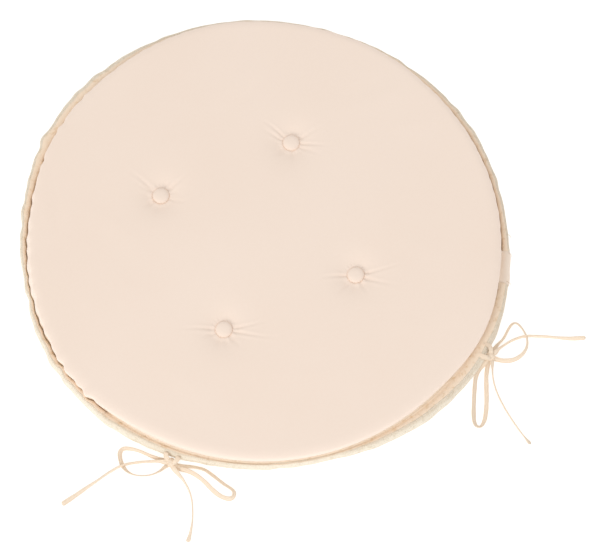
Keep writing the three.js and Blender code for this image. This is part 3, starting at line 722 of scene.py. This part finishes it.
def lower_line(angle):
    """The lower strip: from the base seam over the roll's crest, down into the groove behind it, and up
    the wall to its fold under the slit."""
    bulge, closed = wall_bulge(angle), 1 - in_zip(angle)
    top = SLIT - half_slit(angle)
    groove = WALL_RADIUS + (0.25 + 0.15 * closed) * MM + bulge
    sway = ripple(angle, (43, 0.25, 2.2), (71, 0.2, 0.5)) * MM * closed
    low = 10.1 * MM - 2.0 * MM * closed
    seam = seam_angle(angle)
    over = [roll_point(angle, seam + (122 - seam) * share, 0.0) for share in (0, 0.16, 0.34, 0.54, 0.76, 1)]
    over = [(np.maximum(r, groove + (0.6 + 0.15 * k) * MM), h) for (r, h), k in zip(over, (5, 4, 3, 2, 1, 0))]
    return over + [
        (groove + 0.35 * MM + sway * 0.5, low + 0.3 * MM),
        (groove, low + 0.6 * MM),
        (groove - 0.25 * MM, (low + top) / 2 + 0.4 * MM),
        (WALL_RADIUS - 0.05 * MM + bulge, top - 0.3 * MM),
        (WALL_RADIUS - 0.6 * MM + bulge, top),
        (WALL_RADIUS - HEM + bulge, top - 0.05 * MM),
    ]


def make_boxing(materials):
    back = np.linspace(ZIP_FROM + 0.03, ZIP_TO - 0.03, 250)
    front = np.linspace(ZIP_TO, ZIP_FROM + 360, 480)
    for place, angle in (("back", back), ("front", front)):
        for level, line, finish in (("upper", upper_line, "cotton"), ("lower", lower_line, "edge")):
            # The lower strips take painted groove shade through their fold attribute (the last argument).
            cloth_strip(f"{level}_boxing_{place}", angle, line, CLOTH, materials[finish],
                        f"boxing_{level}_{place}", 0.8 if level == "lower" else 0.0)


def make_tab(materials):
    """The tab: a padded strip over the roll and the slit, its edges turned down and its belly raised."""
    across = np.linspace(0, 1, 34)
    angle = TAB_FROM + (TAB_TO - TAB_FROM) * across
    lift = (0.4 + 0.6 * np.sin(np.pi * across) ** 0.5) * MM
    lines = []
    for psi in (-28, 0, 24, 48, 72, 96):
        radius, height = roll_point(angle, psi)
        turn = math.radians(psi)
        lines.append((radius + lift * math.cos(turn), height + lift * math.sin(turn)))
    lines += [(WALL_RADIUS + 0.7 * MM + 0.3 * lift, SLIT - 1.2 * MM + 0 * angle),
              (WALL_RADIUS + 0.5 * MM + 0 * angle, SLIT + 0.2 * MM + 0 * angle),
              (WALL_RADIUS + 0.45 * MM + 0 * angle, SLIT + 1.2 * MM + 0 * angle)]
    cloth_strip("zip_garage_tab", angle, lambda _: lines, CLOTH * 0.9, materials["tab"], "joiner_tab")


# ------------------------------------------------------------------ stitches
def stitches(name, starts, ends, raised, thickness, material):
    """One mesh of many short threads. Each is a small tube from start to end that bows outwards by
    raised at its middle and thins to a point at both ends: radius = thickness times a half sine."""
    steps, sides = 6, 5
    t = np.linspace(0, 1, steps)
    line = starts[:, None] * (1 - t)[None, :, None] + ends[:, None] * t[None, :, None]
    line = line + raised[:, None] * (np.sin(np.pi * t) ** 0.7)[None, :, None]
    along, out = unit(ends - starts), unit(raised)
    side = np.cross(along, out)
    turn = whole_turn(sides)
    cos, sin = np.cos(turn)[:, None], np.sin(turn)[:, None]
    ring = out[:, None, None] * cos + side[:, None, None] * sin
    size = thickness * np.clip(np.sin(np.pi * t), 0.0, 1) ** 0.4
    points = line[:, :, None] + ring * size[None, :, None, None]
    run = np.linspace(0, np.linalg.norm(ends[0] - starts[0]), steps)
    chart = joined(run[:, None], (turn * thickness)[None])
    mesh = surface(name, [(p, chart) for p in points], closed_columns=True)
    return new_object(name, mesh, material)


def make_stitches(materials):
    """Topstitching above the zip's slit, the overlocked thread on the base seam, and the tab's ends."""
    pitch = math.degrees(3.6 * MM / WALL_RADIUS)
    first = np.arange(ZIP_FROM + 1.5, TAB_FROM - 1, pitch)
    height = SLIT_TOP + 1.6 * MM
    skin = WALL_RADIUS + wall_bulge(first) + 0.1 * MM
    start = around(skin, height, first)
    end = around(skin, height, first + 0.8 * pitch)
    out = around(0.1 * MM, 0.0, first + 0.4 * pitch)
    stitches("slit_topstitch", start, end, out, 0.28 * MM, materials["thread"])

    pitch = math.degrees(1.5 * MM / PAD_RADIUS)
    first = np.arange(0, 360 - pitch / 2, pitch)
    seam = seam_angle(first)
    low_radius, low_height = roll_point(first, seam - 34)
    high_radius, high_height = roll_point(first + 0.8 * pitch, seam)
    start = around(low_radius + 0.05 * MM, low_height, first)
    end = around(high_radius + 0.05 * MM, high_height, first + 0.8 * pitch)
    middle = np.radians(seam - 17)
    out = around(np.cos(middle) * MM, np.sin(middle) * MM, first) * 0.6
    stitches("overlock_thread", start, end, out, 0.23 * MM, materials["lock_thread"])

    # Three rows that climb the roll: one at each edge of the tab, and one in the roll beside it. Their darker
    # thread is partly the thread's colour and partly painted shade of the thin grooves of these seams.
    rows = [TAB_FROM + 0.5, TAB_TO - 0.5, TAB_TO + 4.2]
    angle, psi = (a.T.ravel() for a in np.meshgrid(rows, np.arange(-10, 66, 19)))
    middle = np.radians(psi + 6.5)
    out = around(np.cos(middle) * MM, np.sin(middle) * MM, angle)
    start = around(*roll_point(angle, psi), angle) + out * 1.5
    end = around(*roll_point(angle, psi + 13), angle) + out * 1.5
    stitches("tab_stitching", start, end, out * 0.2, 0.28 * MM, materials["shaded_seam_thread"])


# ------------------------------------------------------------------ buttons
def make_buttons(materials):
    for number, ((x, y), (low, high)) in enumerate(zip(TUFTS, BUTTON_BOXES), 1):
        button_cap(number, x, y, low.z, high.z, materials)
        back_button(number, x, y, materials)


def button_cap(number, x, y, foot, crown, materials):
    """The covered cap: a low dome, its cloth turned under the rim in small gathers. Its height falls as
    a superellipse of the radius, and the gathers are waves that fade out towards the middle."""
    angle = whole_turn(96, 360)
    psi = np.concatenate([np.linspace(90, 0, 26), np.linspace(-15, -80, 7)])
    turn = np.radians(psi)[:, None]
    wide = np.where(turn > 0, np.abs(np.cos(turn)) ** 0.72, np.abs(np.cos(turn)) ** 0.2)
    rim_height = foot + 1.8 * MM
    tall = np.where(turn > 0, crown - 0.5 * MM - rim_height, rim_height - foot)
    height = rim_height + tall * np.sign(turn) * np.abs(np.sin(turn)) ** 1.05
    fade = np.clip(1 - psi / 60, 0, 1)[:, None] ** 2
    gather = 1 + 0.018 * np.sin(np.radians(angle) * 17 + number)[None] * fade
    tilt = 0.25 * MM * np.sin(np.radians(angle) + 1.3 * number)[None] * wide
    radius = (BUTTON_RADIUS - 0.4 * MM) * wide * gather
    spin = np.radians(angle)[None]
    points = [x + radius * np.cos(spin), y + radius * np.sin(spin), height + tilt]
    points = joined(*points)
    foot_ring = points[-1:].copy()
    foot_ring[..., :2] = (x, y)
    points = np.concatenate([points, foot_ring])
    name = f"button_cloth_{number}"
    mesh = surface(name, [(points, points[..., :2])], closed_columns=True)
    new_object(name, mesh, materials["cotton"], replaces=[f"button_cover_{number}"])


def back_button(number, x, y, materials):
    """The flat two-hole button under the pad, with its dished face down, and the stitch through it."""
    low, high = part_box(f"back_button_{number}")
    radius = (high.x - low.x) / 2
    angle = whole_turn(120, 360)
    rim = 0.92 + 0.08 * np.sin(np.radians(np.linspace(15, 90, 6)))
    rings = np.concatenate([np.linspace(0, 0.92, 30), rim]) * radius
    spin = np.radians(angle)[None]
    local_x, local_y = rings[:, None] * np.cos(spin), rings[:, None] * np.sin(spin)
    dish = 0.6 * MM * (1 / (1 + np.exp((rings - 0.62 * radius) / (0.25 * MM))))[:, None]
    hole = sum(np.exp(-(np.hypot(local_x - side * 2 * MM, local_y) / (0.8 * MM)) ** 6) for side in (-1, 1))
    edge = 0.9 * MM * (1 - np.sqrt(1 - np.clip((rings / radius - 0.8) / 0.2, 0, 1) ** 2))[:, None]
    below = low.z + dish + 1.4 * MM * hole + edge
    above = high.z - edge + 0 * local_x
    x_all, y_all = x + local_x, y + local_y
    points = np.concatenate([np.stack([x_all, y_all, z], -1) for z in (below, above)])
    points[len(rings):] = points[len(rings):][::-1].copy()
    name = f"under_button_{number}"
    mesh = surface(name, [(points, points[..., :2])], closed_columns=True)
    new_object(name, mesh, materials["plastic"], replaces=[f"back_button_{number}"])
    starts = np.array([[x - 2 * MM, y + off, low.z + 0.9 * MM] for off in (-0.35 * MM, 0.35 * MM)])
    ends = starts + [4 * MM, 0, 0]
    raised = np.tile([0, 0, -0.75 * MM], (2, 1))
    stitches(f"under_stitch_{number}", starts, ends, raised, 0.42 * MM, materials["twine"])


# ------------------------------------------------------------------ zip
def make_zip(materials):
    """Two wound coils in place of the plain bars, and the slider and pull with their edges rounded."""
    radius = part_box("zip_coil_upper")[1].y - 1.0 * MM
    for name in ("upper", "lower"):
        low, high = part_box(f"zip_coil_{name}")
        middle = (low.z + high.z) / 2
        turns = 300
        t = np.linspace(0, 1, turns * 8)
        angle = 34.5 + (148.9 - 34.5) * t
        wind = TAU * turns * t
        height = middle + (high.z - low.z - 0.7 * MM) / 2 * np.sin(wind)
        line = around(radius + 0.62 * MM * np.cos(wind), height, angle)
        mesh = tube_mesh(f"zip_teeth_{name}", line, 0.35 * MM, 5)
        new_object(f"zip_teeth_{name}", mesh, materials["nylon"], replaces=[f"zip_coil_{name}"])
    for node, name, body in (("zip_slider", "slider_body", "slider"), ("zip_pull", "pull_tab", "pull")):
        piece = softened_copy(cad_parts[node], name, 0.22 * MM)
        new_object(name, piece, materials["enamel"], body, [node])


def tube_mesh(name, line, radius, sides):
    """A tube of constant radius round a line, with its ends closed to points."""
    tangent = unit(np.gradient(line, axis=0))
    first = unit(np.cross(tangent, [0.31, 0.17, 0.93]))
    second = np.cross(tangent, first)
    turn = whole_turn(sides)
    size = np.full(len(line), radius)
    size[[0, -1]] = 0
    ring = first[:, None] * np.cos(turn)[None, :, None] + second[:, None] * np.sin(turn)[None, :, None]
    chart = joined(travelled(line)[:, None], (turn * radius)[None])
    return surface(name, [(line[:, None] + ring * size[:, None, None], chart)], closed_columns=True)


def softened_copy(node, name, width):
    """A CAD piece's mesh with its corners merged, flat faces joined and its edges rounded."""
    shape = bmesh.new()
    shape.from_mesh(node.data)
    bmesh.ops.remove_doubles(shape, verts=shape.verts, dist=1e-6)
    bmesh.ops.dissolve_limit(shape, angle_limit=math.radians(3), verts=shape.verts, edges=shape.edges)
    sharp = [e for e in shape.edges if len(e.link_faces) == 2 and e.calc_face_angle(0) > math.radians(40)]
    bmesh.ops.bevel(shape, geom=sharp, offset=width, segments=2, profile=0.6, affect="EDGES",
                    clamp_overlap=True)
    bmesh.ops.triangulate(shape, faces=shape.faces)
    mesh = bpy.data.meshes.new(name)
    shape.to_mesh(mesh)
    shape.free()
    return mesh


# ------------------------------------------------------------------ tie tapes
# Each stretch is its route in mm, and how far the tape is turned on edge, in degrees, along it. A point
# without a height lies on the seat.
TIES = {
    "right": {
        "knot": (133, 155.2, 4.7), "waist": 233,
        "tape_1": [
            ([(125.6, 154.3, 10.2), (128.3, 156.4, 9.8), (131, 157.4, 9.1)], [20, 20]),
            ([(137.3, 151.6, 3.9), (141.2, 148, 2), (147, 142.8, 0.9), (153.5, 136.5), (160, 132),
              (165.5, 130.5), (169, 134), (170, 142.5), (168, 149.5), (162.5, 155),
              (153, 158.5), (145, 158.4, 0.9), (138.6, 156.4, 2.4)],
             [40, 66, 74, 74, 66, 40, 20, 45, 66, 68, 60, 30]),
            ([(137.8, 153.6, 6.2), (142, 150.8, 4.4), (148, 148, 2.3), (156, 145.6, 1.3), (163, 144.3, 2.6),
              (170, 143.8, 3.1), (176.5, 144.4, 2.6), (184, 146, 1), (193, 148.8), (202, 151.3),
              (213, 154.6), (226, 158)],
             [40, 80, 86, 88, 88, 88, 88, 88, 88, 86, 72, 50, 30]),
        ],
        "tape_2": [
            ([(133.9, 147.1, 10.2), (135.3, 149.9, 9.8), (135.2, 152.6, 9.1)], [-20, -20]),
            ([(129, 158.8, 3.9), (122.6, 161.4, 1.4), (115.5, 165), (109.5, 169.5), (104.5, 177),
              (99.5, 185.5), (95.2, 191.5), (94, 195.5), (96.3, 198.8), (100.3, 198.6),
              (105.5, 194), (109.8, 186.5), (113.2, 178.5), (117.6, 171.2), (123, 165.2),
              (128.8, 160.9, 2)],
             [20, 36, 42, 42, 42, 46, 52, 48, 42, 46, 52, 50, 34]),
            ([(132.6, 160.6, 4.2), (130.4, 166, 1.8), (128.3, 173), (127.2, 182), (127.8, 190),
              (130, 198), (133, 206), (137.5, 214.5), (142.5, 222)],
             [-30, -60, -80, -84, -84, -84, -80, -60, -30]),
        ],
    },
    "left": {
        "knot": (-137.7, 157.3, 4.7), "waist": 218,
        "tape_1": [
            ([(-135.6, 145.6, 10.2), (-139.4, 149.5, 9.9), (-139.9, 154.4, 9.1)], [20, 20]),
            ([(-142, 153.6, 3.9), (-147.6, 149.3, 1.6), (-154, 146), (-160.5, 140),
              (-165.5, 136.5), (-169.3, 137.5), (-171.5, 143), (-172.3, 149.5),
              (-171, 156), (-167.3, 161.3), (-161.5, 164.8), (-154.5, 165.8),
              (-147.5, 163.8), (-142.2, 160.4, 2.2)],
             [20, 50, 58, 60, 50, 55, 66, 70, 68, 62, 55, 45, 30]),
            ([(-142.9, 156.3, 6.2), (-148, 153.4, 3.8), (-153.5, 151.3, 1.6), (-160, 149.9, 1.2),
              (-166, 149.6, 2.3), (-172.3, 150.6, 3), (-178.5, 152.6, 2.3), (-186, 155.6, 1),
              (-195, 159.9), (-205, 164.4), (-217, 168)],
             [-30, -80, -86, -88, -88, -88, -88, -88, -88, -86, -66, -50]),
        ],
        "tape_2": [
            ([(-126.8, 153.3, 10.2), (-131.1, 157, 9.9), (-135.5, 159.6, 9.1)], [-20, -20]),
            ([(-133.2, 160.4, 3.9), (-127.3, 163.2, 1.4), (-121.5, 169.2), (-117, 178),
              (-113, 187), (-109.5, 195.5), (-106.8, 203.3), (-106.8, 208.2),
              (-109.8, 210.2), (-114, 207), (-118, 200.5), (-122.5, 190.5),
              (-126.3, 180), (-129.6, 171.4), (-134, 163, 1.8)],
             [15, 32, 40, 38, 34, 36, 44, 48, 36, 32, 36, 42, 25]),
            ([(-138, 162, 4.2), (-136.6, 166.8, 2.4), (-134.6, 173, 1), (-133, 181), (-132.6, 190),
              (-133.4, 201), (-135.3, 213), (-138, 225), (-142, 238)],
             [30, 70, 86, 88, 88, 88, 86, 80, 40]),
        ],
    },
}
TAPE_WIDTH, TAPE_THICKNESS = 4 * MM, 1.2 * MM
TAPE_STEP = 1.1 * MM
ON_SEAT = 0.8                       # height of a flat tape's middle line, in mm


def tape_line(stretches, knot):
    """One tape's middle line and its turn at each point: lead, through the knot, loop, knot, tail. Where
    it is turned on edge it is raised so that its lower edge stays on the seat."""
    points, turns = [], []
    for index, (route, twist) in enumerate(stretches):
        route = np.array([(*point, ON_SEAT)[:3] for point in route]) * MM
        if index:
            points.append(np.array([knot]) * MM + [[0, 0, (1.2, -0.9)[index - 1] * MM]])
            turns.append([turns[-1][-1] * 0.5])
        points.append(route)
        places = np.linspace(0, len(twist) - 1, len(route))
        turns.append(np.interp(places, np.arange(len(twist)), twist))
    points, turns = np.concatenate(points), np.concatenate(turns)
    dense = flow(np.column_stack([points, np.radians(turns) / 1000]), 40 * len(points))
    run = travelled(dense[:, :3])
    even = np.linspace(0, run[-1], int(run[-1] / TAPE_STEP))
    line = np.stack([np.interp(even, run, dense[:, k]) for k in range(4)], -1)
    twist = line[:, 3] * 1000
    rise = TAPE_WIDTH / 2 * np.abs(np.sin(twist)) + TAPE_THICKNESS / 2 * np.abs(np.cos(twist)) + 0.1 * MM
    path = line[:, :3].copy()
    path[:, 2] = np.maximum(path[:, 2], rise)
    return path, twist, even


def make_tape(name, path, twist, run):
    """A folded and stitched tape: a flat oval section with a stitched dip near one edge, carried along
    the path. It swells and closes over its last few millimetres, where its end is turned in."""
    tangent = unit(np.gradient(path, axis=0))
    level = unit(np.cross(tangent, [0, 0, 1]))
    up = np.cross(level, tangent)
    wide = level * np.cos(twist)[:, None] + up * np.sin(twist)[:, None]
    thin = up * np.cos(twist)[:, None] - level * np.sin(twist)[:, None]
    spin = whole_turn(22)
    cos, sin = np.cos(spin), np.sin(spin)
    half_wide = TAPE_WIDTH / 2 * np.sign(cos) * np.abs(cos) ** 0.5
    half_thin = TAPE_THICKNESS / 2 * np.sign(sin) * np.abs(sin) ** 0.55
    dip = 1 - 0.45 * np.exp(-((np.abs(half_wide) / MM - 1.3) / 0.28) ** 2)
    left = (run[-1] - run) / MM
    plump = 1 + 0.35 * np.exp(-((left - 2.5) / 2.2) ** 2)
    close = np.sqrt(np.clip(1 - np.clip(1 - left / 1.6, 0, 1) ** 2, 0, 1))
    start = np.sqrt(np.clip(run / (0.8 * MM), 0, 1))
    size = (close * start)[:, None]
    breathe = 1 + 0.07 * np.sin(run / (6 * MM)) * np.sin(run / (2.3 * MM))
    width = half_wide[None] * size * breathe[:, None]
    depth = half_thin[None] * dip[None] * size * plump[:, None]
    points = path[:, None] + wide[:, None] * width[..., None] + thin[:, None] * depth[..., None]
    points[..., 2] = np.maximum(points[..., 2], 0.05 * MM)
    chart = joined(run[:, None], (spin * TAPE_WIDTH / math.pi)[None])
    return surface(name, [(points, chart)], closed_columns=True)


def bow_knot(knot, waist):
    """The knot: a soft core, and a band of tape wrapped round it and another tucked across. A band is a
    flat oval section carried round an oval ring whose axis is the bow's waist line."""
    centre, turn = np.array(knot) * MM, math.radians(waist)
    axis = np.array([math.cos(turn), math.sin(turn), 0])
    other, up = np.array([-axis[1], axis[0], 0]), np.array([0, 0, 1.0])
    spin = whole_turn(28)
    psi = np.linspace(-math.pi / 2, math.pi / 2, 14)
    size = np.array([3.9, 2.8, 2.7]) * MM
    shape = (np.sin(psi)[:, None, None] * axis * size[0]
             + np.cos(psi)[:, None, None] * (np.cos(spin)[None, :, None] * other * size[1]
                                             + np.sin(spin)[None, :, None] * up * size[2]))
    shape = shape * (1 + 0.06 * np.sin(3 * spin)[None, :, None])
    chart = joined(psi[:, None] * size[0], spin[None] * size[1])
    grids = [(centre + shape, chart)]
    for lean, shift, girth, width in ((0.16, 0.2, 3.2, 3.9), (-0.5, -0.9, 2.95, 3.2)):
        ring_axis = axis * math.cos(lean) + other * math.sin(lean)
        ring_side = other * math.cos(lean) - axis * math.sin(lean)
        t = whole_turn(48)
        out = np.cos(t)[:, None] * ring_side + np.sin(t)[:, None] * up
        section = whole_turn(14)
        flat = np.sign(np.cos(section)) * np.abs(np.cos(section)) ** 0.5 * width / 2 * MM
        thick = np.sin(section) * 0.5 * MM + 0.25 * MM * (np.abs(flat) < width * 0.3 * MM)
        radius = girth * MM * (1 + 0.05 * np.cos(2 * t))
        points = (centre + ring_axis * shift * MM + out[:, None] * (radius[:, None] + thick[None])[..., None]
                  + ring_axis * flat[None, :, None])
        chart = joined((t * girth * MM)[:, None], section[None] * MM)
        grids.append((points, chart))
    return grids


def make_ties(materials):
    """Four tapes and two knots. A tape's length is that of its route, from the seam to its end."""
    for side, bow in TIES.items():
        name = f"{side}_bow_knot"
        mesh = knot_mesh(name, *bow_knot(bow["knot"], bow["waist"]))
        knot = new_object(name, mesh, materials["tape"], replaces=[f"{side}_tie_knot"])
        for number in (1, 2):
            path, twist, run = tape_line(bow[f"tape_{number}"], bow["knot"])
            name = f"{side}_tape_{number}"
            mesh = make_tape(name, path, twist, run)
            parts = [f"{side}_tie_{part}_{number}" for part in ("lead", "loop", "tail")]
            tape = new_object(name, mesh, materials["tape"], replaces=parts)


def knot_mesh(name, core, *bands):
    """The core closes at two poles and each band closes both ways, so they are made apart and joined."""
    whole = bmesh.new()
    for index, grid in enumerate([core, *bands]):
        part = surface(f"{name}_{index}", [grid], closed_rows=index > 0, closed_columns=True)
        whole.from_mesh(part)
        bpy.data.meshes.remove(part)
    mesh = bpy.data.meshes.new(name)
    whole.to_mesh(mesh)
    whole.free()
    return mesh


# ------------------------------------------------------------------ hidden CAD pieces keep their shape
def finish_cad_pieces(materials):
    kinds = {"zip_tape": "zip_tape", "zip_top_stop": "steel", "zip_bottom_stop": "steel",
             "button_shell": "steel", "button_back": "steel", "tuft_twine": "waxed_core"}
    for node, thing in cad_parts.items():
        for start, finish in kinds.items():
            if node.startswith(start):
                thing.data.materials.clear()
                thing.data.materials.append(materials[finish])


make_camera()
materials = make_materials()
make_ties(materials)
make_studio()
make_top(materials)
make_bottom(materials)
make_boxing(materials)
make_filling(materials)
make_tab(materials)
make_stitches(materials)
make_buttons(materials)
make_zip(materials)
finish_cad_pieces(materials)
